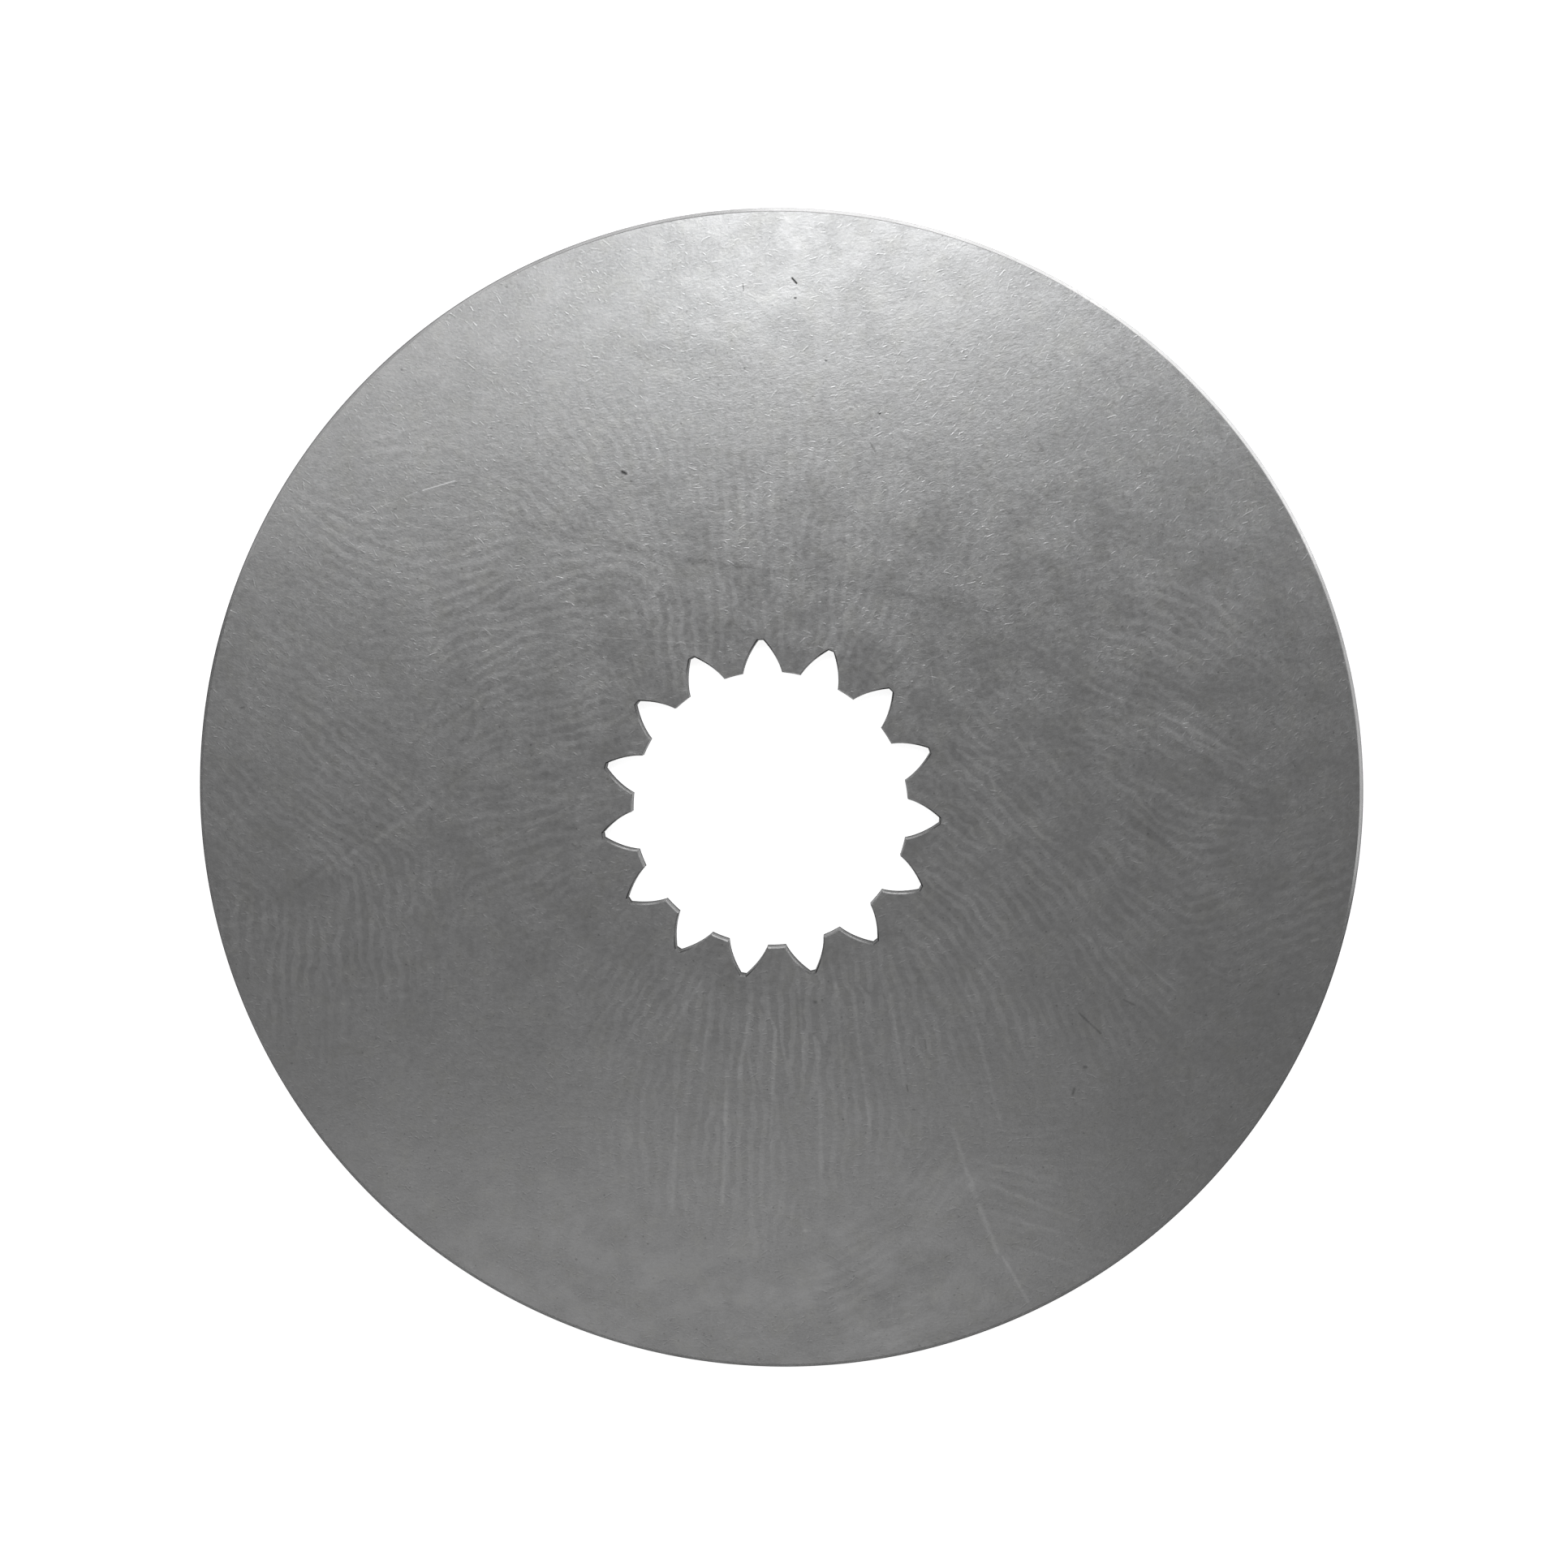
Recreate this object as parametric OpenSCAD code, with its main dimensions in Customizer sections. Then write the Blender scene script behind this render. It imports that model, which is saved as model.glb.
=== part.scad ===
// Splined brake disc: one flat blanked and ground steel plate with an internal involute spline.
// The disc lies flat. The spline's axis is Z, the back face is at z = 0, and the front face is up.

/* [Disc] */
// Outside diameter
disc_od = 92.5; // [80:0.1:120]
// Plate thickness
disc_t = 1.2; // [1:0.05:3]
// Radial width of the bevel that blanking leaves round the front rim
rim_bevel_w = 0.36; // [0.2:0.02:0.6]
// Depth of that bevel below the front face
rim_bevel_d = 0.15; // [0.05:0.01:0.3]
// Size of the small corner between that bevel and the rim's wall
rim_corner = 0.05; // [0.02:0.01:0.1]
// Edge break round the back rim
rim_break = 0.08; // [0.04:0.01:0.2]

/* [Spline] */
// Number of spaces, which is the number of teeth on the shaft
spline_n = 15; // [13:1:17]
// Diametral pitch, in teeth per inch of pitch diameter
spline_dp = 16; // [14:1:20]
// Pressure angle at the pitch circle
pressure_angle = 30; // [28:0.5:32]
// Minor diameter, over the tooth lands, in modules
minor_in_modules = 13.85; // [13.6:0.05:14]
// Major diameter, at the bottom of the spaces, in modules
major_in_modules = 17; // [16.6:0.05:17]
// Edge break along the spline, on both faces
spline_break = 0.1; // [0.04:0.01:0.12]

/* [Finish] */
// Colour of the bare ground steel
steel = "#8f9294"; // ["#8f9294", "#7d8082", "#a3a6a8"]

/* [Hidden] */

// Spline geometry, all radii in millimetres and all angles in degrees
module_mm = 25.4 / spline_dp;
pitch_angle = 360 / spline_n;
pitch_r = spline_n * module_mm / 2;
base_r = pitch_r * cos(pressure_angle);
minor_r = minor_in_modules * module_mm / 2;
major_r = major_in_modules * module_mm / 2;

// Fineness of the outlines
rim_fn = 180;
flank_steps = 8;
land_steps = 4;
// How far a cutter runs past the surface that it cuts
overrun = 0.03;

function polar(r, a) = [r * cos(a), r * sin(a)];
function deg(rad) = rad * 180 / PI;
// Involute function, in degrees, of the pressure angle at a radius
function inv(a) = deg(tan(a)) - a;
function pressure_at(r) = acos(base_r / r);
// Half angle of a space at radius r. A flank moved out by b along its normal is the same involute,
// turned about the axis by b / base_r.
function space_half(r, b = 0) =
    pitch_angle / 4 + inv(pressure_angle) - inv(pressure_at(r)) + deg(b / base_r);

// Points of one space, centred on angle 0 and widened by b: out along one flank, back along the other
function flank_r(i, b) = minor_r + b + (major_r - minor_r) * i / flank_steps;
function space_points(b = 0) = concat(
    [for (i = [0 : flank_steps]) polar(flank_r(i, b), -space_half(flank_r(i, b), b))],
    [for (i = [flank_steps : -1 : 0]) polar(flank_r(i, b), space_half(flank_r(i, b), b))]
);

// Points along the tooth land that follows that space, between its two corners
function land_points(b = 0) =
    let (from = space_half(minor_r + b, b), to = pitch_angle - from)
    [for (i = [1 : land_steps - 1]) polar(minor_r + b, from + (to - from) * i / land_steps)];

function turned(points, a) =
    [for (p = points) [p.x * cos(a) - p.y * sin(a), p.x * sin(a) + p.y * cos(a)]];

// The whole outline of the spline hole, widened by b, with a space centred on +Y
function spline_outline(b = 0) =
    let (one = concat(space_points(b), land_points(b)))
    [for (k = [0 : spline_n - 1]) each turned(one, 90 + k * pitch_angle)];

// Half section of the plate: a rectangle with the bevelled front edge and the small back edge break
module plate_section() {
    rim_r = disc_od / 2;
    bevel_z = disc_t - rim_bevel_d;
    front = [
        [0, disc_t],
        [rim_r - rim_bevel_w, disc_t],
        [rim_r - rim_corner, bevel_z],
        [rim_r - 0.3 * rim_corner, bevel_z - 0.7 * rim_corner],
        [rim_r, bevel_z - 1.9 * rim_corner]
    ];
    back = [[rim_r, rim_break], [rim_r - rim_break, 0], [0, 0]];
    polygon(concat(front, back));
}

// The spline hole: lands on the minor circle, and one involute space for each tooth
module spline_hole() {
    translate([0, 0, -overrun])
        linear_extrude(disc_t + 2 * overrun) {
            circle(r = minor_r, $fn = rim_fn);
            for (k = [0 : spline_n - 1])
                rotate(90 + k * pitch_angle)
                    polygon(concat([polar(minor_r / 2, 0)], space_points()));
        }
}

// A 45 degree ring cutter that breaks the spline's edge at z = 0. It widens towards -Z, and it starts
// inside the hole and ends outside the plate.
module spline_edge_cutter() {
    inner = spline_outline(-overrun);
    outer = spline_outline(spline_break + overrun);
    n = len(inner);
    top_z = spline_break + overrun;
    points = concat(
        [for (p = inner) [p.x, p.y, top_z]],
        [for (p = outer) [p.x, p.y, -overrun]],
        [[0, 0, top_z], [0, 0, -overrun]]
    );
    walls = [for (i = [0 : n - 1])
        let (j = (i + 1) % n)
        each [[i, j, n + j], [i, n + j, n + i]]];
    caps = [for (i = [0 : n - 1])
        let (j = (i + 1) % n)
        each [[2 * n, j, i], [2 * n + 1, n + i, n + j]]];
    polyhedron(points, concat(walls, caps));
}

module brake_disc() {
    color(steel)
    difference() {
        rotate_extrude($fn = rim_fn) plate_section();
        spline_hole();
        spline_edge_cutter();
        translate([0, 0, disc_t]) mirror([0, 0, 1]) spline_edge_cutter();
    }
}

brake_disc();
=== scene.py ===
import functools
import math

import bpy
import numpy as np
from mathutils import Matrix, Vector


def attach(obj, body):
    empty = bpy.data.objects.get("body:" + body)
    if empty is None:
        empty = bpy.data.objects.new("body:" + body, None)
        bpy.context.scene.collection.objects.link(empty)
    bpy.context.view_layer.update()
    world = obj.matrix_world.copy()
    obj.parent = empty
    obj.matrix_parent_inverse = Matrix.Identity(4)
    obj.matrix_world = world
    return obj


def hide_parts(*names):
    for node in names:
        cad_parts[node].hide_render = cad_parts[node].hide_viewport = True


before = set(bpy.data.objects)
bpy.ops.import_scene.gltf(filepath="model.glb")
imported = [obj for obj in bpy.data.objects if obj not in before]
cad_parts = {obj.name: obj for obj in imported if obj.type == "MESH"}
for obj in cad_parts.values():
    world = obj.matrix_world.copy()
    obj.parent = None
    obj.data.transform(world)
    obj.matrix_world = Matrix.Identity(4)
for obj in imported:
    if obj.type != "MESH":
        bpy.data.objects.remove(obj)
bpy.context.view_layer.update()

# ---------------------------------------------------------------- sizes, in metres

MM = 0.001
# A little less than the CAD disc, whose faceted rim doesn't reach its full radius everywhere
RIM_R = 46.235 * MM
PLATE_T = 1.2 * MM
RIM_BEVEL_W, RIM_BEVEL_D = 0.36 * MM, 0.15 * MM
RIM_CORNER = 0.05 * MM
BACK_BREAK = 0.08 * MM

SPLINE_N = 15
MODULE = 25.4 / 16 * MM
PRESSURE_ANGLE = math.radians(30)
PITCH_R = SPLINE_N * MODULE / 2
BASE_R = PITCH_R * math.cos(PRESSURE_ANGLE)
MINOR_R = 13.85 * MODULE / 2
MAJOR_R = 17 * MODULE / 2
SPLINE_BREAK = 0.1 * MM
SECTOR = 2 * math.pi / SPLINE_N

FLANK_STEPS, LAND_STEPS, BOTTOM_STEPS = 14, 6, 2
# The face's mesh follows the spline's outline near the hole, and is plain rings from CALM_R outwards
CALM_R = MAJOR_R + 1.2 * MM
EASING = (0, 0.08, 0.2, 0.36, 0.55, 0.77)
FACE_RINGS = 56
SHARP_ANGLE = math.radians(18)

# How far the spline's space at +Y stands anticlockwise of the top of the picture
TURN = math.radians(2.78)
# Places of marks, lights and the camera are given in this unit, which is close to the disc's radius
UNIT = 46.05 * MM


# ---------------------------------------------------------------- the disc's mesh

def involute(pressure):
    """Involute function of a pressure angle."""
    return math.tan(pressure) - pressure


def space_half_angle(r, widened):
    """Half the angle of a spline space at radius r, its flanks moved out by widened."""
    pressure = math.acos(BASE_R / r)
    return SECTOR / 4 + involute(PRESSURE_ANGLE) - involute(pressure) + widened / BASE_R


def spline_sector(widened):
    """Polar points of one space and the tooth land after it, the space centred on angle 0."""
    low, high = MINOR_R + widened, MAJOR_R + widened
    radii = [low + (high - low) * i / FLANK_STEPS for i in range(FLANK_STEPS + 1)]
    out = [(r, -space_half_angle(r, widened)) for r in radii]
    tip = space_half_angle(high, widened)
    across = [(high, tip * (2 * i / BOTTOM_STEPS - 1)) for i in range(1, BOTTOM_STEPS)]
    back = [(r, space_half_angle(r, widened)) for r in reversed(radii)]
    start = space_half_angle(low, widened)
    land = [
        (low, start + (SECTOR - 2 * start) * i / LAND_STEPS) for i in range(1, LAND_STEPS)
    ]
    return out + across + back + land


def spline_loop(widened):
    """XY points of the whole spline outline, a space centred on +Y."""
    sector = spline_sector(widened)
    polar = [
        (r, a + math.pi / 2 + k * SECTOR) for k in range(SPLINE_N) for r, a in sector
    ]
    return np.array([(r * math.cos(a), r * math.sin(a)) for r, a in polar])


def circle_loop(r, count):
    """XY points of a circle, in step with the spline outline."""
    first = math.pi / 2 - space_half_angle(MINOR_R, 0)
    a = first + np.arange(count) * 2 * math.pi / count
    return np.stack([r * np.cos(a), r * np.sin(a)], axis=1)


# The disc's finishes, in the order of its material slots
FACE, RIM, EDGE, WALL = 0, 1, 2, 3


def section_loops():
    """Closed loops of the disc: over the front face, round the rim, and back over the back face.

    Each is (XY points, z, finish of the band between it and the next loop).
    """
    top = PLATE_T
    inner = spline_loop(SPLINE_BREAK)
    count = len(inner)
    calm = circle_loop(CALM_R, count)

    def face(z, outer_r, outward):
        steps = [inner + (calm - inner) * e for e in EASING]
        radii = CALM_R + (outer_r - CALM_R) * np.linspace(0, 1, FACE_RINGS)
        steps += [circle_loop(r, count) for r in radii]
        return [(p, z, FACE) for p in (steps if outward else reversed(steps))]

    bevel_z = top - RIM_BEVEL_D
    loops = [(spline_loop(0), top - SPLINE_BREAK, EDGE)]
    loops += face(top, RIM_R - RIM_BEVEL_W, True)
    loops[-1] = (*loops[-1][:2], RIM)
    loops += [
        (circle_loop(RIM_R - RIM_CORNER, count), bevel_z, RIM),
        (circle_loop(RIM_R - 0.3 * RIM_CORNER, count), bevel_z - 0.7 * RIM_CORNER, RIM),
        (circle_loop(RIM_R, count), bevel_z - 1.9 * RIM_CORNER, WALL),
        (circle_loop(RIM_R, count), BACK_BREAK, RIM),
    ]
    loops += face(0, RIM_R - BACK_BREAK, False)
    loops[-1] = (*loops[-1][:2], EDGE)
    loops.append((spline_loop(0), SPLINE_BREAK, WALL))
    return loops


def make_disc():
    """The plate as one closed mesh, and its points."""
    loops = section_loops()
    count = len(loops[0][0])
    points = np.concatenate([np.column_stack([xy, np.full(count, z)]) for xy, z, _ in loops])
    faces, finishes = [], []
    for k, (_, _, finish) in enumerate(loops):
        a, b = k * count, (k + 1) % len(loops) * count
        for i in range(count):
            j = (i + 1) % count
            faces.append((a + i, b + i, b + j, a + j))
            finishes.append(finish)
    mesh = bpy.data.meshes.new("brake_disc_plate")
    mesh.from_pydata(points.tolist(), [], faces)
    mesh.update()
    disc = bpy.data.objects.new("brake_disc_plate", mesh)
    bpy.context.scene.collection.objects.link(disc)
    mesh.polygons.foreach_set("material_index", finishes)
    mesh.shade_smooth()
    mesh.set_sharp_from_angle(angle=SHARP_ANGLE)
    return disc, points


# ---------------------------------------------------------------- the oil film's ripples

# Strokes that comb the ripples: where they run and at what angle. Places are in UNIT from the
# centre, right and up with the spline's +Y space turned back by TURN, and angles are in degrees
# anticlockwise from the right. The last two numbers are the stroke's reach and how clearly it shows.
COMB = (
    # outer left, in bowls
    (-0.62, 0.55, 8, 0.06, 0.7), (-0.52, 0.55, -35, 0.05, 0.6), (-0.74, 0.46, -32, 0.06, 1.0),
    (-0.62, 0.43, -3, 0.07, 1.0), (-0.50, 0.44, 16, 0.06, 0.9), (-0.75, 0.37, -34, 0.06, 1.0),
    (-0.64, 0.35, -4, 0.06, 0.8), (-0.75, 0.25, -38, 0.06, 1.0), (-0.66, 0.27, 0, 0.04, 1.0),
    (-0.56, 0.31, 20, 0.06, 1.0), (-0.42, 0.36, 19, 0.07, 1.0), (-0.32, 0.40, 12, 0.05, 1.0),
    (-0.24, 0.42, -24, 0.04, 0.9), (-0.19, 0.36, -70, 0.04, 1.0), (-0.18, 0.28, -82, 0.05, 1.0),
    # left of the hole
    (-0.54, 0.23, 40, 0.05, 1.0), (-0.56, 0.15, 48, 0.05, 0.8), (-0.44, 0.24, 22, 0.05, 0.8),
    (-0.34, 0.17, 13, 0.06, 1.0), (-0.36, 0.10, 7, 0.06, 1.0), (-0.42, 0.02, 6, 0.06, 0.7),
    (-0.40, -0.04, 20, 0.06, 0.9), (-0.42, -0.13, 26, 0.06, 0.5), (-0.25, 0.24, -58, 0.03, 0.7),
    # far left, above the oblique spine and below it
    (-0.65, 0.17, -22, 0.06, 0.8), (-0.76, 0.10, -38, 0.08, 0.8), (-0.86, 0.04, -42, 0.07, 0.8),
    (-0.74, 0.00, -36, 0.07, 1.0), (-0.86, -0.08, -36, 0.06, 0.8), (-0.64, 0.06, -34, 0.05, 0.7),
    (-0.86, -0.27, 84, 0.07, 0.9), (-0.76, -0.22, 88, 0.07, 0.9), (-0.67, -0.20, 94, 0.07, 0.8),
    # above the long spine
    (-0.36, 0.53, -45, 0.06, 0.9), (-0.28, 0.58, -55, 0.06, 0.7), (-0.20, 0.53, -66, 0.06, 0.9),
    (-0.10, 0.50, -84, 0.06, 0.8), (0.00, 0.50, 88, 0.07, 0.8), (0.12, 0.47, 82, 0.07, 0.7),
    (-0.05, 0.62, 88, 0.06, 0.15), (0.25, 0.44, 70, 0.07, 0.4),
    # between the long spine and the hole
    (-0.08, 0.35, 92, 0.05, 0.9), (0.02, 0.34, 88, 0.05, 0.9), (0.10, 0.33, 76, 0.04, 1.0),
    (0.17, 0.31, 62, 0.04, 1.0), (0.24, 0.27, 52, 0.04, 1.0), (0.30, 0.21, 30, 0.04, 0.7),
    # right
    (0.45, 0.38, 22, 0.06, 0.6), (0.52, 0.47, 20, 0.07, 0.5), (0.58, 0.38, 0, 0.05, 0.7),
    (0.66, 0.34, -22, 0.06, 1.0), (0.74, 0.29, -32, 0.06, 1.0), (0.66, 0.24, -28, 0.06, 0.8),
    (0.72, 0.40, -20, 0.05, 0.7), (0.70, 0.14, -30, 0.07, 1.0), (0.58, 0.20, -30, 0.05, 0.8),
    (0.36, 0.16, -52, 0.05, 1.0), (0.34, 0.07, -34, 0.05, 1.0), (0.44, 0.09, -46, 0.06, 1.0),
    (0.42, -0.02, -44, 0.06, 1.0), (0.54, -0.02, -44, 0.07, 1.0), (0.62, 0.06, -38, 0.06, 0.9),
    (0.72, 0.02, -32, 0.04, 1.0), (0.78, -0.02, -6, 0.05, 0.8), (0.64, -0.10, -38, 0.06, 0.9),
    (0.80, -0.13, 22, 0.07, 0.8), (0.90, -0.15, 30, 0.05, 0.7),
    # lower right, swept round the hole
    (0.34, -0.15, -42, 0.05, 1.0), (0.44, -0.14, -46, 0.06, 1.0), (0.54, -0.18, -50, 0.07, 0.8),
    (0.34, -0.26, -55, 0.06, 0.9), (0.44, -0.27, -60, 0.07, 0.8), (0.52, -0.32, -64, 0.07, 0.7),
    (0.30, -0.36, -70, 0.06, 0.7), (0.40, -0.40, -72, 0.07, 0.5), (0.64, -0.26, -44, 0.06, 0.6),
    # below the hole
    (0.20, -0.36, -82, 0.06, 0.9), (0.10, -0.38, -88, 0.06, 1.0), (0.00, -0.38, 89, 0.06, 1.0),
    (-0.10, -0.36, 78, 0.05, 1.0), (-0.18, -0.34, 66, 0.05, 1.0), (-0.26, -0.28, 52, 0.05, 0.6),
    (0.16, -0.52, -86, 0.06, 0.6), (0.05, -0.54, 90, 0.08, 0.8), (-0.08, -0.54, 88, 0.07, 0.9),
    (-0.18, -0.54, 86, 0.07, 0.7), (-0.06, -0.68, 90, 0.06, 0.5), (-0.24, -0.44, 70, 0.06, 0.5),
    # the fern at the lower right
    (0.48, -0.60, 6, 0.04, 0.3), (0.48, -0.66, -12, 0.05, 0.5), (0.52, -0.73, -18, 0.05, 0.5),
    (0.52, -0.81, -18, 0.04, 0.2), (0.29, -0.66, 55, 0.04, 0.4), (0.24, -0.76, 36, 0.05, 0.3),
    (0.16, -0.88, 20, 0.06, 0.5),
)
# Away from every stroke the ripples fade, and this sets how soon
COMB_FLOOR = 0.25


def comb_field(points):
    """For each point, twice the ripples' angle as a unit vector, and how clearly they show.

    The angle is doubled because a ripple has no head or tail. The back face shows none.
    """
    c, s = math.cos(TURN), math.sin(TURN)
    x = (points[:, 0] * c - points[:, 1] * s) / UNIT
    y = (points[:, 0] * s + points[:, 1] * c) / UNIT
    direction = np.zeros((len(points), 2))
    shown = np.zeros(len(points))
    total = np.full(len(points), 1e-9)
    for sx, sy, angle, reach, clear in COMB:
        distance = ((x - sx) ** 2 + (y - sy) ** 2) / reach**2
        near = np.exp(-0.5 * distance)
        # The faint wide term settles the angle where no stroke is near
        sharp = np.exp(-0.9 * distance) + 1e-4 * np.exp(-0.02 * distance)
        twice = 2 * (math.radians(angle) - TURN)
        direction += sharp[:, None] * (math.cos(twice), math.sin(twice))
        shown += near * clear
        total += near
    direction /= np.linalg.norm(direction, axis=1)[:, None] + 1e-12
    shown = shown / (total + COMB_FLOOR)
    front = points[:, 2] > PLATE_T / 2
    return direction, np.clip(shown, 0, 1) * front


disc, disc_points = make_disc()
field, shown = comb_field(disc_points)
comb = disc.data.attributes.new("comb", "FLOAT_VECTOR", "POINT")
comb.data.foreach_set("vector", np.column_stack([field, shown]).astype(np.float32).ravel())


# ---------------------------------------------------------------- shader nodes

class Graph:
    """Adds nodes to a shader, so that each step of a recipe reads as one line."""

    def __init__(self, tree):
        self.tree = tree

    def put(self, socket, value):
        if isinstance(value, bpy.types.NodeSocket):
            self.tree.links.new(value, socket)
        else:
            socket.default_value = value

    def node(self, kind, inputs=(), **settings):
        n = self.tree.nodes.new("ShaderNode" + kind)
        for name, value in settings.items():
            setattr(n, name, value)
        for name, value in dict(inputs).items():
            self.put(n.inputs[name], value)
        return n

    def math(self, operation, *values):
        return self.node("Math", enumerate(values), operation=operation).outputs[0]

    def clamp(self, value, low, high):
        return self.math("MINIMUM", self.math("MAXIMUM", value, low), high)

    def add(self, a, b):
        return self.math("ADD", a, b)

    def times(self, a, b):
        return self.math("MULTIPLY", a, b)

    def vector(self, operation, *values, out="Vector"):
        return self.node("VectorMath", enumerate(values), operation=operation).outputs[out]

    def ramp(self, value, low, high, to_low=0.0, to_high=1.0):
        """A smooth step from to_low to to_high as value goes from low to high."""
        inputs = {0: value, 1: low, 2: high, 3: to_low, 4: to_high}
        # A clamp here would be a node of its own, and many of those overflow the renderer's stack
        return self.node("MapRange", inputs, interpolation_type="SMOOTHSTEP", clamp=False).outputs[0]

    def total(self, values):
        return functools.reduce(self.add, values)

    def scaled(self, vector, by):
        return self.node("VectorMath", {0: vector, "Scale": by}, operation="SCALE").outputs[0]

    def split(self, vector):
        return self.node("SeparateXYZ", {0: vector}).outputs

    def joined(self, x, y, z=0.0):
        return self.node("CombineXYZ", {0: x, 1: y, 2: z}).outputs[0]

    def grey(self, light):
        return self.node("CombineColor", {0: light, 1: light, 2: light}).outputs[0]

    def noise(self, place, size, detail=2.0, rough=0.5):
        """Fractal noise from 0 to 1 whose blobs are about size metres across."""
        inputs = {"Vector": place, "Scale": 1 / size, "Detail": detail, "Roughness": rough}
        return self.node("TexNoise", inputs, noise_dimensions="3D").outputs["Fac"]

    def signed(self, value, amount):
        """A 0 to 1 value as a change of plus or minus amount."""
        return self.math("MULTIPLY_ADD", value, 2 * amount, -amount)

    def drift(self, place, size, detail, reach):
        """A noise vector up to half of reach long each way, its blobs about size metres across."""
        inputs = {"Vector": place, "Scale": 1 / size, "Detail": detail}
        colour = self.node("TexNoise", inputs).outputs["Color"]
        return self.scaled(self.vector("SUBTRACT", colour, (0.5, 0.5, 0.5)), reach)


def new_material(name):
    material = bpy.data.materials.new(name)
    material.use_nodes = True
    graph = Graph(material.node_tree)
    return material, graph, material.node_tree.nodes["Principled BSDF"]


def set_metal(g, shader, colour, roughness, height, relief):
    """Makes a shader bare metal; relief is what a height of 1 in the bump stands for, in metres."""
    g.put(shader.inputs["Base Color"], colour)
    shader.inputs["Metallic"].default_value = 1.0
    g.put(shader.inputs["Roughness"], roughness)
    bump = g.node("Bump", {"Strength": 1.0, "Distance": relief, "Height": height})
    g.put(shader.inputs["Normal"], bump.outputs[0])


# ---------------------------------------------------------------- the ground face

STEEL = (0.563, 0.562, 0.563)
OLIVE_STEEL = (0.564, 0.562, 0.552)
RIPPLE_GAP, RIPPLES_IN_CELL = 1.0 * MM, 3.0
RIM_GREY, EDGE_GREY = 0.8, 0.34
# Wall greys: at the tooth lands, in the spaces with painted shade, and round the rim
LAND_GREY, SPACE_SHADE_GREY, RIM_WALL_GREY = 0.16, 0.05, 0.35

# The face's lightness, and how far each pattern moves it
FACE_LIGHT, DARKEST = 0.96, 0.05
GRAIN, MOTTLE, BLOTCH, CLOUD = 0.20, 0.17, 0.08, 0.10
# The first of these is the tumbling marks' painted glint
TUMBLED_GLINT, RIPPLED, PITTED = 0.40, 0.20, -0.25
# The back face's patterns are those of the front, taken this many plate thicknesses further along
BACK_SHIFT = 31.0
# The way to the upper right of the picture, and how dark the painted shade line along the bevel is at
# its two edges
UPPER_RIGHT = (0.5, 0.866, 0)
INNER_SHADE, OUTER_SHADE = 0.5, 0.45
# Between these heights the walls turn from torn to sheared
TORN_TO, SHEARED_FROM = 0.38 * PLATE_T, 0.46 * PLATE_T
# How fast the lines that the punch drew change down the wall, against along it
DRAWN = 0.06
# What one unit of height is worth in the bumps of the face and walls, of the bevel, and of the edge
FINE_RELIEF, BEVEL_RELIEF, EDGE_RELIEF = 0.001 * MM, 0.002 * MM, 0.004 * MM

# Painted glint: the tumbling marks lie along arcs about a point beyond the top of the picture, where
# the lamps above are mirrored, so that the light marks are the ones that would catch those lamps
GLINT_LAY_CENTRE = Vector((0.0, 1.6, 0.0)) * UNIT
LAY_BEND = 0.3
# Below 1, the grain is longer along X
GRAIN_STRETCH = 0.6
# How dark the painted shade on the lip beside a mark is, for a mark's painted glint of 1
LIP_SHADE = 0.45
# How much a mark curves, and how few of the marks are strong
MARK_BEND, MARK_RARITY = 0.45, 3.0
# Layers of marks: cell size, shift of the pattern, length, width, spread of angles
TUMBLING = (
    (0.46 * MM, (0, 0, 0), 0.34 * MM, 0.10 * MM, math.radians(80)),
    (0.80 * MM, (0.013, 0.031, 0), 0.55 * MM, 0.11 * MM, math.radians(60)),
    (1.40 * MM, (0.047, 0.011, 0), 0.95 * MM, 0.10 * MM, math.radians(90)),
)

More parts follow.
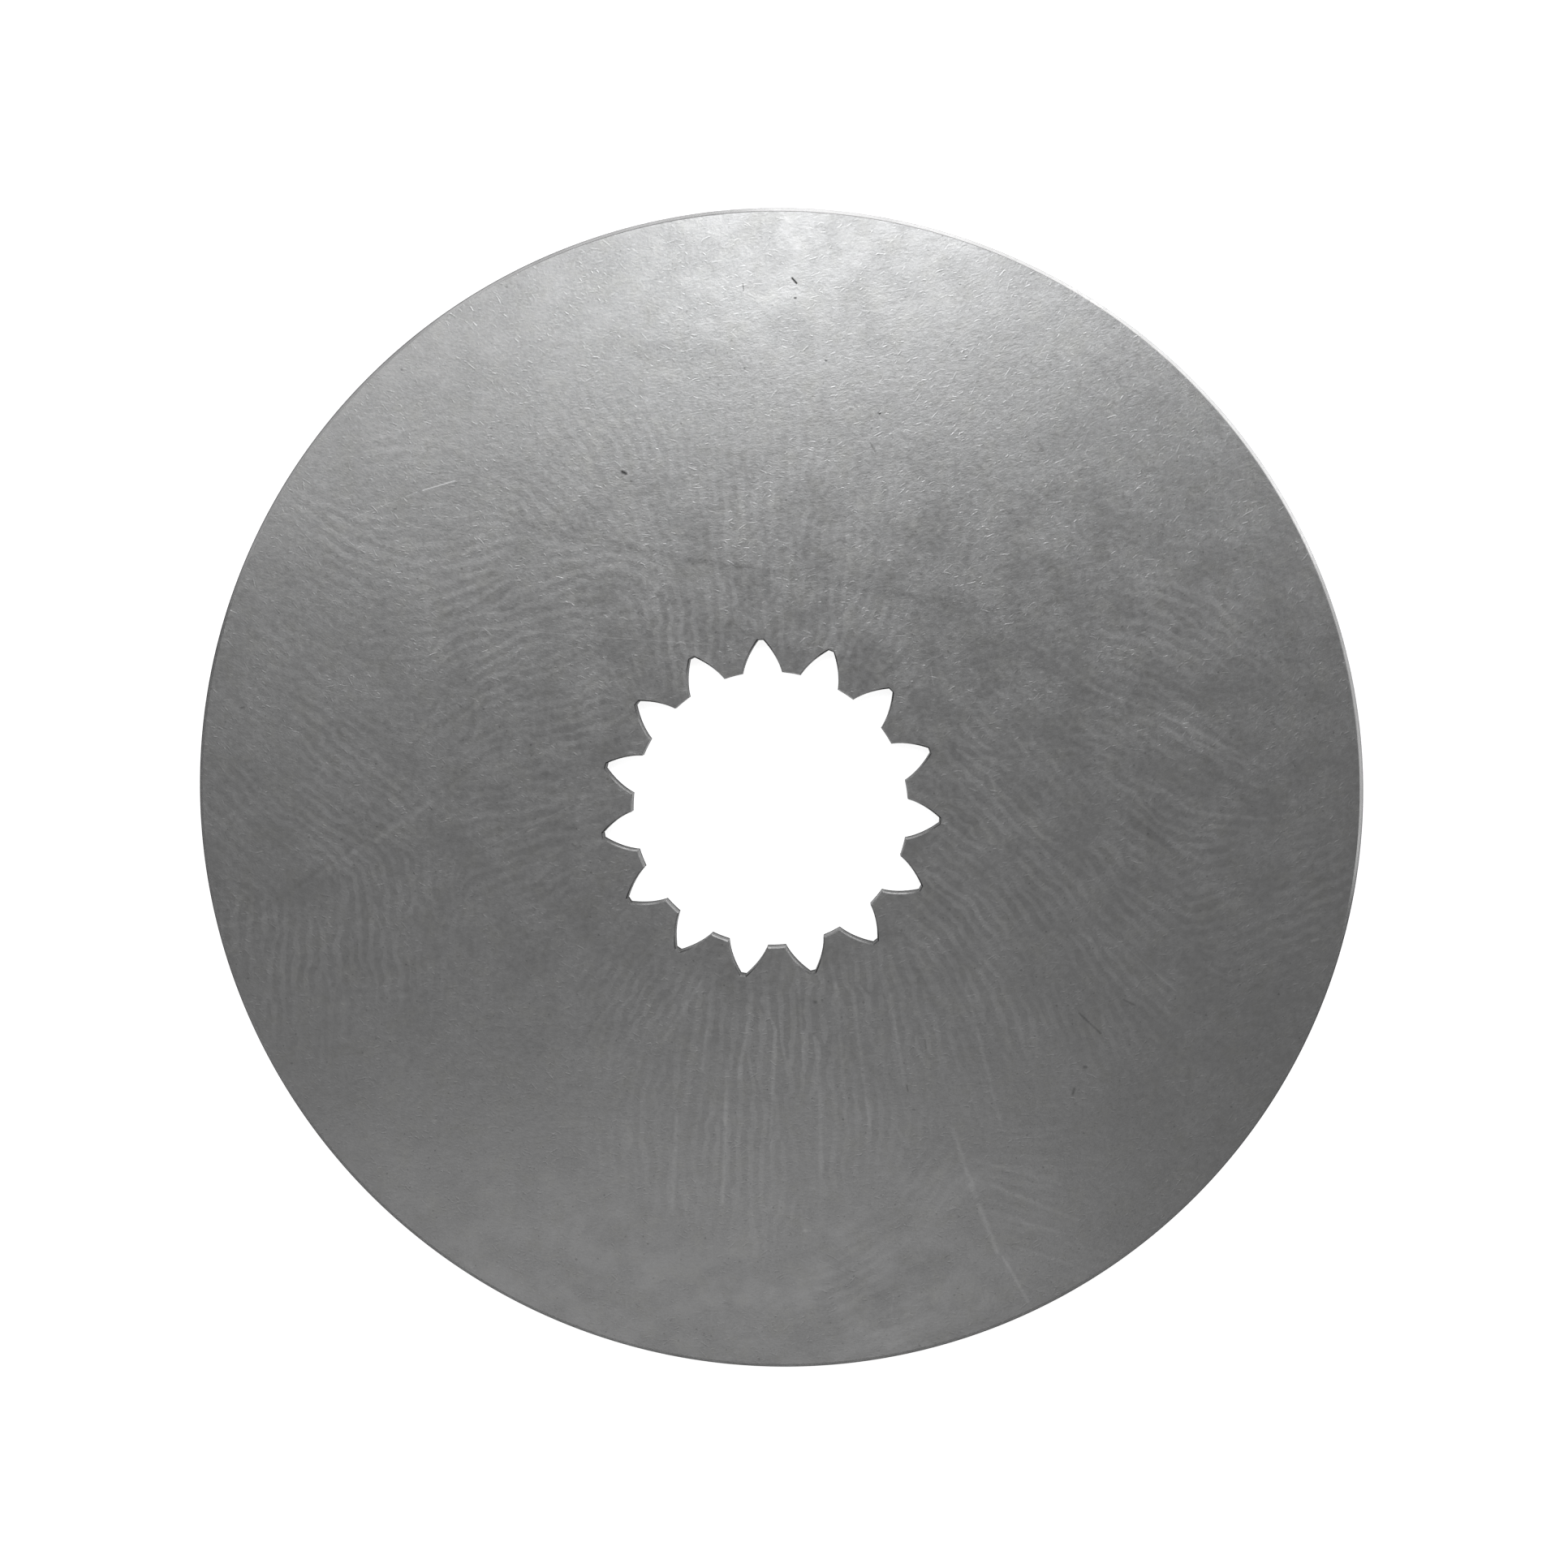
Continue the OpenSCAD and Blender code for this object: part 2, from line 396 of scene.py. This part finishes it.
# Single marks, in the same places and directions as COMB: from x, y to x, y, width in millimetres,
# and how much lighter (or darker, below 0) they are than the steel round them
OIL_MARKS = (
    # dark spines that the ripples branch from
    (-0.44, 0.495, -0.12, 0.425, 0.9, -0.10), (-0.14, 0.43, 0.14, 0.385, 0.9, -0.12),
    (0.12, 0.385, 0.42, 0.335, 0.9, -0.08), (-0.90, -0.18, -0.66, -0.02, 0.8, -0.07),
    (-0.66, -0.02, -0.47, 0.11, 0.8, -0.07),
    # light streaks beside the oblique spine
    (-0.80, -0.12, -0.70, -0.055, 0.7, 0.09), (-0.69, -0.055, -0.58, 0.02, 0.7, 0.12),
    (-0.53, 0.10, -0.46, 0.14, 0.7, 0.12), (-0.97, -0.21, -0.88, -0.19, 0.6, 0.10),
    # streaks below the hole
    (-0.075, -0.44, -0.085, -0.70, 0.55, 0.16), (-0.165, -0.54, -0.175, -0.72, 0.6, 0.15),
    (-0.12, -0.30, -0.19, -0.41, 0.6, 0.13), (-0.105, -0.34, -0.12, -0.46, 0.5, 0.13),
    (-0.03, -0.32, -0.055, -0.47, 0.6, 0.13), (0.01, -0.38, 0.00, -0.60, 0.5, 0.12),
    (0.05, -0.30, 0.06, -0.45, 0.5, 0.13), (0.085, -0.42, 0.09, -0.64, 0.6, 0.12),
    (0.115, -0.30, 0.125, -0.44, 0.6, 0.14), (0.14, -0.28, 0.175, -0.56, 0.5, 0.10),
    (0.21, -0.32, 0.235, -0.48, 0.6, 0.15), (0.34, -0.30, 0.40, -0.54, 0.5, 0.12),
    # parallel streaks at the right
    (0.46, 0.28, 0.55, 0.21, 0.6, 0.14), (0.55, 0.21, 0.70, 0.15, 0.6, 0.16),
    (0.70, 0.15, 0.84, 0.075, 0.6, 0.14), (0.62, 0.165, 0.76, 0.10, 0.5, 0.13),
    (0.72, 0.12, 0.80, 0.085, 0.5, 0.12), (0.64, 0.06, 0.72, 0.00, 0.5, 0.13),
    (0.72, 0.00, 0.84, -0.012, 0.5, 0.12), (0.34, 0.24, 0.42, 0.18, 0.6, 0.10),
    (0.70, 0.11, 0.80, 0.04, 1.8, -0.09), (0.62, -0.02, 0.69, -0.06, 1.6, -0.06),
    # the fern's stem and its branches
    (0.32, -0.56, 0.36, -0.68, 0.7, 0.15), (0.366, -0.695, 0.40, -0.78, 0.7, 0.18),
    (0.41, -0.79, 0.455, -0.87, 0.5, 0.16), (0.36, -0.615, 0.51, -0.655, 0.5, 0.10),
    (0.39, -0.66, 0.54, -0.72, 0.5, 0.10), (0.42, -0.72, 0.52, -0.745, 0.5, 0.08),
    (0.43, -0.77, 0.53, -0.80, 0.5, 0.08), (0.41, -0.575, 0.49, -0.565, 0.5, 0.08),
    (0.20, -0.79, 0.36, -0.65, 2.2, 0.07), (0.12, -0.92, 0.30, -0.79, 2.2, -0.07),
    (0.12, -0.97, 0.34, -0.90, 2.2, 0.06), (0.24, -0.69, 0.30, -0.66, 1.6, -0.05),
)
SCRATCHES = (
    (-0.51, -0.075, -0.33, 0.015, 0.12, 0.16), (0.58, -0.205, 0.70, -0.31, 0.14, 0.14),
    (-0.59, 0.548, -0.535, 0.563, 0.18, 0.75), (-0.72, 0.50, -0.60, 0.545, 0.12, 0.26),
    (-0.50, 0.315, -0.30, 0.300, 0.12, 0.25), (-0.28, 0.298, -0.10, 0.285, 0.12, 0.25),
    (-0.16, 0.385, 0.04, 0.345, 0.10, 0.12), (0.47, 0.56, 0.56, 0.70, 0.12, 0.10),
    (0.10, 0.36, 0.16, 0.29, 0.10, 0.12), (-0.36, 0.87, -0.22, 0.94, 0.10, 0.10),
    (0.275, 0.245, 0.280, 0.215, 0.16, 0.30), (-0.15, 0.535, -0.11, 0.53, 0.12, 0.25),
)
SPECKS = (
    (0.041, 0.889, 0.048, 0.881, 0.28, -0.95), (0.045, 0.857, 0.047, 0.857, 0.26, -0.9),
    (-0.041, 0.881, -0.040, 0.870, 0.16, -0.6), (-0.247, 0.576, -0.241, 0.573, 0.42, -0.9),
    (0.185, 0.668, 0.187, 0.668, 0.28, -0.8), (0.171, 0.620, 0.180, 0.605, 0.24, -0.30),
    (0.096, 0.755, 0.098, 0.755, 0.22, -0.8), (0.545, -0.445, 0.548, -0.445, 0.40, -0.40),
    (0.529, -0.484, 0.526, -0.494, 0.40, -0.35), (0.535, -0.350, 0.572, -0.385, 0.30, -0.28),
    (0.610, -0.325, 0.630, -0.335, 0.26, -0.22), (0.270, -0.400, 0.272, -0.415, 0.26, -0.25),
    (0.239, -0.482, 0.241, -0.492, 0.24, -0.30), (0.250, -0.525, 0.252, -0.525, 0.30, -0.30),
    (0.078, -0.335, 0.080, -0.335, 0.40, -0.35), (-0.343, -0.060, -0.338, -0.063, 0.36, -0.30),
    (-0.470, 0.650, -0.468, 0.650, 0.20, -0.35), (-0.920, 0.178, -0.916, 0.178, 0.34, -0.30),
    (-0.640, 0.517, -0.637, 0.517, 0.26, -0.35), (0.005, 0.720, 0.006, 0.718, 0.20, -0.35),
    (0.850, 0.150, 0.860, 0.140, 0.50, -0.20), (0.915, 0.160, 0.918, 0.158, 0.30, -0.30),
    (0.061, -0.748, 0.063, -0.748, 0.50, 0.22), (-0.602, -0.558, -0.598, -0.558, 0.50, 0.20),
    (0.925, -0.220, 0.935, -0.217, 0.36, 0.30),
)

# Painted highlight: broad soft lighter and darker patches, put under the lamps' reflection
HIGHLIGHT_PATCHES = (
    (0.04, 0.865, 0.08, 0.860, 6.0, 0.10), (-0.06, 0.870, -0.02, 0.850, 5.0, 0.09),
    (-0.15, 0.835, -0.12, 0.825, 3.5, 0.08), (0.05, 0.950, 0.09, 0.935, 3.5, 0.07),
    (-0.21, 0.775, -0.11, 0.765, 4.0, -0.08), (0.05, 0.800, 0.07, 0.790, 4.5, -0.07),
    (0.09, 0.955, 0.12, 0.940, 3.0, -0.09), (0.15, 0.84, 0.17, 0.80, 4.0, -0.05),
    (-0.28, 0.88, -0.22, 0.90, 5.0, -0.04), (-0.02, 0.78, 0.00, 0.74, 4.0, 0.05),
)


def on_disc(x, y, z):
    """A point given in UNIT in the picture's directions, from the centre of the front face."""
    p = Matrix.Rotation(-TURN, 3, "Z") @ Vector((x, y, z)) * UNIT
    return p + Vector((0, 0, PLATE_T))


def marks(g, place, table):
    """The sum of a table's marks at a place, each one strongest along its middle."""
    found = []
    for x0, y0, x1, y1, width, strength in table:
        start, run = on_disc(x0, y0, 0), on_disc(x1, y1, 0) - on_disc(x0, y0, 0)
        from_start = g.vector("SUBTRACT", place, start)
        along = g.vector("DOT_PRODUCT", from_start, run, out="Value")
        along = g.clamp(g.times(along, 1 / run.length_squared), 0, 1)
        away = g.vector("DISTANCE", from_start, g.scaled(run, along), out="Value")
        found.append(g.ramp(away, width / 2 * MM, 0, 0, strength))
    return g.total(found)


def ripples(g, place):
    """Light lines of the dried oil film, from 0 to 1, run along the comb."""
    comb = g.node("Attribute", attribute_name="comb").outputs["Vector"]
    across, up, clear = g.split(comb)
    angle = g.times(g.math("ARCTAN2", up, across), 0.5)
    inputs = {
        "Vector": g.vector("ADD", place, g.drift(place, 1.6 * MM, 2.0, 0.9 * MM)),
        "Scale": 1 / (RIPPLES_IN_CELL * RIPPLE_GAP),
        "Frequency": RIPPLES_IN_CELL,
        "Anisotropy": 1.0,
    }
    gabor = g.node("TexGabor", inputs, gabor_type="2D")
    # The node has an Orientation for 2D and another for 3D; the 2D one is a plain angle
    for socket in gabor.inputs:
        if socket.name == "Orientation" and socket.type == "VALUE":
            g.put(socket, g.add(angle, math.pi / 2))
    wave = g.math("COSINE", g.times(gabor.outputs["Phase"], 2 * math.pi))
    breaks = g.signed(g.noise(place, 0.6 * MM, 3.0, 0.6), 0.9)
    line = g.ramp(g.add(wave, breaks), -0.3, 0.65)
    patches = g.ramp(g.noise(place, 5 * MM, 1.0), 0.34, 0.62, 0.25, 1.0)
    return g.times(g.times(line, patches), clear)


def glinting_marks(g, place, cell, shift, length, width, spread):
    """Short curved scratches, about one to each square of side cell, painted as light glints with a
    darker lip of painted shade beside each.
    """
    moved = g.vector("ADD", place, shift)
    voronoi = g.node("TexVoronoi", {"Vector": moved, "Scale": 1 / cell}, voronoi_dimensions="2D")
    middle = voronoi.outputs["Position"]
    chance = g.node("SeparateColor", {0: voronoi.outputs["Color"]})
    away = g.split(g.vector("SUBTRACT", middle, GLINT_LAY_CENTRE + Vector(shift)))
    lay = g.add(g.math("ARCTAN2", away[1], away[0]), math.pi / 2)
    angle = g.add(lay, g.signed(chance.outputs[0], spread / 2))
    local = g.vector("SUBTRACT", moved, middle)
    turn = {"Vector": local, "Angle": g.times(angle, -1.0)}
    x, y, _ = g.split(g.node("VectorRotate", turn, rotation_type="Z_AXIS").outputs[0])
    bend = g.times(g.math("SUBTRACT", chance.outputs[1], 0.5), MARK_BEND / length)
    bent = g.add(y, g.times(g.times(x, x), bend))
    # Painted glint along the mark's middle
    light = g.ramp(g.math("ABSOLUTE", bent), width / 2, 0)
    # Painted shade on the lip beside the mark
    lip = g.ramp(g.math("ABSOLUTE", g.add(bent, width)), width / 2, 0, 0, LIP_SHADE)
    along = g.ramp(g.math("ABSOLUTE", x), length / 2, length / 5)
    seen = g.math("POWER", chance.outputs[2], MARK_RARITY)
    return g.times(g.times(g.math("SUBTRACT", light, lip), along), seen)


def make_face_steel():
    """Ground and tumbled steel, with a dried oil film and single marks on the front."""
    material, g, shader = new_material("ground_steel_face")
    where = g.node("TexCoord").outputs["Object"]
    x, y, z = g.split(where)
    front = g.math("GREATER_THAN", z, PLATE_T / 2)
    flat = g.joined(x, y, PLATE_T)
    place = g.joined(g.add(x, g.times(g.math("SUBTRACT", PLATE_T, z), BACK_SHIFT)), y)
    # The grain is longer than it is wide, and bends in arcs as the tumbling marks do
    arc = g.times(g.times(x, x), -LAY_BEND / UNIT)
    along = g.joined(g.times(x, GRAIN_STRETCH), g.add(y, arc), z)

    line = ripples(g, where)
    oil = marks(g, flat, OIL_MARKS)
    worn = g.ramp(g.noise(place, 0.8 * MM, 3.0, 0.6), 0.25, 0.6, 0.35, 1.15)
    oil = g.times(oil, worn)

    # The tumbling marks: painted glint and painted shade in the colour, and real grooves in the
    # roughness and bump
    scratch_and_glint = g.total([glinting_marks(g, place, *layer) for layer in TUMBLING])
    rubbed = g.ramp(g.noise(place, 3.2 * MM, 3.0, 0.6), 0.36, 0.62)
    scratch_and_glint = g.times(scratch_and_glint, g.add(g.times(rubbed, 0.95), 0.22))
    # Painted highlight: the patterns' contrast grows towards the top of the picture, under the lamps'
    # reflection
    highlight_contrast = g.ramp(y, -0.5 * UNIT, 0.95 * UNIT, 0.85, 1.42)
    long_ones = marks(g, flat, SCRATCHES)
    specks = marks(g, flat, SPECKS)

    # The soft patches get ragged outlines, so their places are moved about within the face
    ragged = g.vector("ADD", flat, g.drift(place, 2.5 * MM, 4.0, 7 * MM))
    bent_flat = g.vector("MULTIPLY", ragged, (1, 1, 0))
    # Painted highlight: lighter and darker patches under the lamps' reflection
    patches = marks(g, g.vector("ADD", bent_flat, (0, 0, PLATE_T)), HIGHLIGHT_PATCHES)

    # An added vector shifts a noise, so that it doesn't repeat another one's pattern
    grain = g.noise(along, 0.15 * MM, 2.0, 0.7)
    mottle = g.noise(place, 0.5 * MM, 3.0, 0.6)
    blotch = g.noise(g.vector("ADD", place, (0.03, 0.01, 0)), 1.1 * MM, 2.0, 0.5)
    cloud = g.noise(place, 6 * MM, 4.0, 0.6)
    pits = g.ramp(g.noise(place, 0.3 * MM, 0.0), 0.23, 0.14, 0.0, PITTED)

    light = g.times(g.signed(grain, GRAIN), g.add(g.times(rubbed, 0.7), 0.55))
    light = g.add(light, g.signed(rubbed, 0.012))
    light = g.add(light, g.signed(mottle, MOTTLE))
    light = g.add(light, g.signed(blotch, BLOTCH))
    # Painted glint of the tumbling marks
    light = g.add(light, g.times(scratch_and_glint, TUMBLED_GLINT))
    # The patterns' contrast, raised towards the top as painted highlight, and then the cloud
    light = g.add(g.times(light, highlight_contrast), g.signed(cloud, CLOUD))
    light = g.add(light, g.add(g.times(line, RIPPLED), pits))
    placed = g.total([oil, patches, long_ones, specks])
    light = g.add(light, g.times(placed, front))
    light = g.math("MAXIMUM", g.add(light, FACE_LIGHT), DARKEST)

    olive = g.noise(g.vector("ADD", place, (0.02, 0.05, 0)), 2.2 * MM, 3.0, 0.6)
    olive = g.ramp(olive, 0.45, 0.75)
    colours = {0: olive, 6: (*STEEL, 1), 7: (*OLIVE_STEEL, 1)}
    tint = g.node("Mix", colours, data_type="RGBA").outputs[2]

    rough = g.total([0.36, g.signed(mottle, 0.09), g.signed(rubbed, 0.03), g.times(scratch_and_glint, -0.05)])
    height = g.total([
        g.times(grain, 8.0), g.times(scratch_and_glint, -5.0), g.times(mottle, 14.0), g.times(cloud, 30.0)
    ])
    set_metal(g, shader, g.scaled(tint, light), g.clamp(rough, 0.2, 0.6), height, FINE_RELIEF)
    return material


def radius(g, where):
    """How far a place is from the spline's axis."""
    x, y, _ = g.split(where)
    return g.vector("LENGTH", g.joined(x, y), out="Value")


def band(g, value, middle, outer, inner):
    """1 within inner of middle, falling to 0 at outer from it."""
    return g.ramp(g.math("ABSOLUTE", g.add(value, -middle)), outer, inner)


def make_rim_steel():
    """The bevel that blanking leaves round the rim, with a thin dark line of painted shade along it.
    """
    material, g, shader = new_material("blanked_rim_bevel")
    where = g.node("TexCoord").outputs["Object"]
    r = radius(g, where)
    # Painted shade: a thin dark line follows the bevel's inner edge at the upper right, and its outer
    # edge elsewhere
    towards = g.vector("DOT_PRODUCT", where, on_disc(*UPPER_RIGHT).normalized(), out="Value")
    inner_side = g.ramp(towards, 0.45 * RIM_R, 0.8 * RIM_R)
    inner = band(g, r, RIM_R - RIM_BEVEL_W + 0.03 * MM, 0.06 * MM, 0.02 * MM)
    outer = band(g, r, RIM_R - 0.06 * MM, 0.09 * MM, 0.04 * MM)
    inner_shade = g.times(inner, g.times(inner_side, -INNER_SHADE))
    outer_shade = g.times(outer, g.add(g.times(inner_side, OUTER_SHADE), -OUTER_SHADE))
    line = g.total([1.0, outer_shade, inner_shade])
    drag = g.noise(where, 0.25 * MM, 3.0, 0.6)
    patches = g.noise(where, 3 * MM, 3.0, 0.6)
    light = g.total([RIM_GREY, g.signed(drag, 0.15), g.signed(patches, 0.15)])
    rough = g.clamp(g.add(0.22, g.signed(drag, 0.1)), 0.15, 0.5)
    set_metal(g, shader, g.scaled(STEEL, g.times(light, line)), rough, drag, BEVEL_RELIEF)
    return material


def make_edge_steel():
    """The edge break along the spline: darker than the face, with bright rubbed spots."""
    material, g, shader = new_material("spline_edge_break")
    where = g.node("TexCoord").outputs["Object"]
    r = radius(g, where)
    spots = g.ramp(g.noise(where, 0.5 * MM, 3.0, 0.65), 0.45, 0.7)
    fine = g.noise(where, 0.12 * MM, 2.0, 0.6)
    light = g.total([EDGE_GREY, g.times(spots, 0.12), g.signed(fine, 0.05)])
    # Painted shade: it is darkest at the bottom of the spaces
    light = g.times(light, g.ramp(r, MAJOR_R - 1.2 * MM, MAJOR_R, 1.0, 0.4))
    rough = g.clamp(g.add(0.32, g.signed(fine, 0.15)), 0.2, 0.5)
    set_metal(g, shader, g.grey(light), rough, fine, EDGE_RELIEF)
    return material


def make_wall_steel():
    """The cut walls: a smooth sheared band below the front face, and torn, darker metal under it."""
    material, g, shader = new_material("blanked_wall")
    where = g.node("TexCoord").outputs["Object"]
    r, z = radius(g, where), g.split(where)[2]
    drawn = g.node("Mapping", {"Vector": where, "Scale": (1, 1, DRAWN)}).outputs[0]
    streaks = g.noise(drawn, 0.1 * MM, 2.0, 0.6)
    torn = g.noise(where, 0.09 * MM, 3.0, 0.7)
    tear_line = g.add(z, g.signed(g.noise(drawn, 0.8 * MM, 2.0), 0.18 * MM))
    sheared = g.ramp(tear_line, TORN_TO, SHEARED_FROM)
    outer = g.math("GREATER_THAN", r, 0.9 * RIM_R)
    # Painted shade: the walls darken from the tooth lands into the spaces
    space_shade = g.ramp(r, MINOR_R + 0.02 * MM, MINOR_R + 0.3 * MM, LAND_GREY, SPACE_SHADE_GREY)
    base = g.math("MAXIMUM", space_shade, g.times(outer, RIM_WALL_GREY))
    finish = g.add(0.6, g.times(sheared, 0.4))
    finish = g.times(finish, g.total([1.0, g.signed(streaks, 0.5), g.signed(torn, 0.3)]))
    rough = g.add(0.65, g.times(sheared, -0.2))
    torn_part = g.math("SUBTRACT", 1.0, sheared)
    height = g.add(g.times(streaks, 4.0), g.times(g.times(torn, torn_part), 14.0))
    set_metal(g, shader, g.grey(g.times(base, finish)), rough, height, FINE_RELIEF)
    return material


for material in (make_face_steel(), make_rim_steel(), make_edge_steel(), make_wall_steel()):
    disc.data.materials.append(material)
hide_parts("brake_disc")
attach(disc, "root")

# ---------------------------------------------------------------- camera

# The camera's eye and the point it looks at, in UNIT: right, up the picture, out of the face
EYE = (0.136, 0.259, 2.28)
AIM = (0.0255, 0.0465, 0.0)
ROLL = math.radians(-0.13)
LENS, SENSOR = 30.65, 36
NEAREST, FARTHEST = 0.005, 20


def look(eye, aim, up):
    """Rotation that looks from eye to aim with up in the upper half of the view."""
    back = (eye - aim).normalized()
    right = up.cross(back).normalized()
    return Matrix((right, back.cross(right), back)).transposed().to_4x4()


camera_data = bpy.data.cameras.new("camera")
camera_data.lens, camera_data.sensor_width = LENS, SENSOR
camera_data.clip_start, camera_data.clip_end = NEAREST, FARTHEST
camera = bpy.data.objects.new("camera", camera_data)
bpy.context.scene.collection.objects.link(camera)
eye, aim = on_disc(*EYE), on_disc(*AIM)
up = Matrix.Rotation(-TURN + ROLL, 3, "Z") @ Vector((0, 1, 0))
camera.matrix_world = Matrix.Translation(eye) @ look(eye, aim, up)
bpy.context.scene.camera = camera

# ---------------------------------------------------------------- floor and light

FLOOR_SIZE = 6.0
# The floor lies a hair below the disc, so that the two don't share a plane
FLOOR_DROP = 0.02 * MM
# The floor glows a little, because the ground has to come out pure white
FLOOR_GLOW = 0.85
PAPER_WHITE, PAPER_ROUGHNESS, PAPER_SPECULAR = 0.92, 0.9, 0.1
bpy.ops.mesh.primitive_plane_add(size=FLOOR_SIZE, location=(0, 0, -FLOOR_DROP))
floor = bpy.context.object
floor.name = "floor"
paper, _, shader = new_material("white_paper")
shader.inputs["Base Color"].default_value = (PAPER_WHITE, PAPER_WHITE, PAPER_WHITE, 1)
shader.inputs["Roughness"].default_value = PAPER_ROUGHNESS
shader.inputs["Specular IOR Level"].default_value = PAPER_SPECULAR
shader.inputs["Emission Color"].default_value = (1, 1, 1, 1)
shader.inputs["Emission Strength"].default_value = FLOOR_GLOW
floor.data.materials.append(paper)

# Sky brightness, from the horizon, 0, up; 1 is straight overhead
SKY = ((0.0, 0.3), (0.2, 0.27), (0.36, 0.2), (0.6, 0.05), (0.8, 0.2))
world = bpy.data.worlds.new("studio")
bpy.context.scene.world = world
world.use_nodes = True
g = Graph(world.node_tree)
height = g.split(g.node("TexCoord").outputs["Generated"])[2]
ramp = g.node("ValToRGB", {0: height})
for k, (at, value) in enumerate(SKY):
    # A new ramp has two stops already
    stop = ramp.color_ramp.elements[k] if k < 2 else ramp.color_ramp.elements.new(at)
    stop.position = at
    stop.color = (value, value, value, 1)
g.put(world.node_tree.nodes["Background"].inputs["Color"], ramp.outputs[0])


def softbox(name, place, aim_at, size, radiance, colour=(1, 1, 1), up=(0, 1, 0)):
    """A rectangular light that the camera doesn't see, its place and size in UNIT.

    Its height runs along up, and its energy is set so that its surface has that radiance.
    """
    data = bpy.data.lights.new(name, "AREA")
    data.shape = "RECTANGLE"
    data.size, data.size_y = size[0] * UNIT, size[1] * UNIT
    data.energy = math.pi * data.size * data.size_y * radiance
    data.color = colour
    light = bpy.data.objects.new(name, data)
    bpy.context.scene.collection.objects.link(light)
    at = on_disc(*place)
    light.matrix_world = Matrix.Translation(at) @ look(at, on_disc(*aim_at), Vector(up))
    light.visible_camera = False


def low_light(name, azimuth, zenith, size, radiance):
    """A light far out round the disc, upright and turned to it; its angles are in degrees."""
    a, z = math.radians(azimuth), math.radians(zenith)
    direction = Vector((math.sin(z) * math.cos(a), math.sin(z) * math.sin(a), math.cos(z)))
    softbox(name, direction * LOW_LIGHT_DISTANCE, (0, 0, 0), size, radiance, up=(0, 0, 1))


# Overhead lights that the face mirrors: place, size, radiance and colour. They lie side by side in
# one plane, because lights that overlap hide each other.
OVERHEAD_HEIGHT = 4.0
WHITE, COOL = (1.0, 1.0, 1.0), (0.975, 0.988, 1.0)
OVERHEAD = (
    ("top_left", (-2.8, 1.875), (3.6, 0.85), 1.5, WHITE),
    ("top_middle", (0.0, 1.875), (2.0, 0.85), 1.0, WHITE),
    ("top_lamp", (-0.3, 2.875), (1.4, 1.15), 4.0, COOL),
    ("top_right", (1.25, 2.875), (1.7, 1.15), 3.0, COOL),
    ("right_lamp", (2.6, 1.6), (0.7, 0.7), 2.0, WHITE),
    ("left_fill", (-2.6, 0.5), (1.8, 1.8), 0.1, WHITE),
    ("low_fill", (-1.2, -2.9), (5.0, 1.5), 0.4, WHITE),
)
for name, (x, y), size, radiance, colour in OVERHEAD:
    softbox(name, (x, y, OVERHEAD_HEIGHT), (x, y, 0), size, radiance, colour)

# Low lights that the rim's bevel and the spline's edge break mirror
LOW_LIGHT_DISTANCE = 12
low_light("edge_light", 92, 79, (9.0, 0.95), 2.4)
# Azimuth and radiance of those for the rim
RIM_LIGHTS = ((5, 1.0), (40, 2.3), (75, 2.3), (110, 1.05), (145, 0.75))
RIM_LIGHT_ZENITH, RIM_LIGHT_SIZE = 71.5, (7.6, 2.2)
for azimuth, radiance in RIM_LIGHTS:
    low_light(f"rim_light_{azimuth}", azimuth, RIM_LIGHT_ZENITH, RIM_LIGHT_SIZE, radiance)

bpy.context.scene.view_settings.view_transform = "Standard"
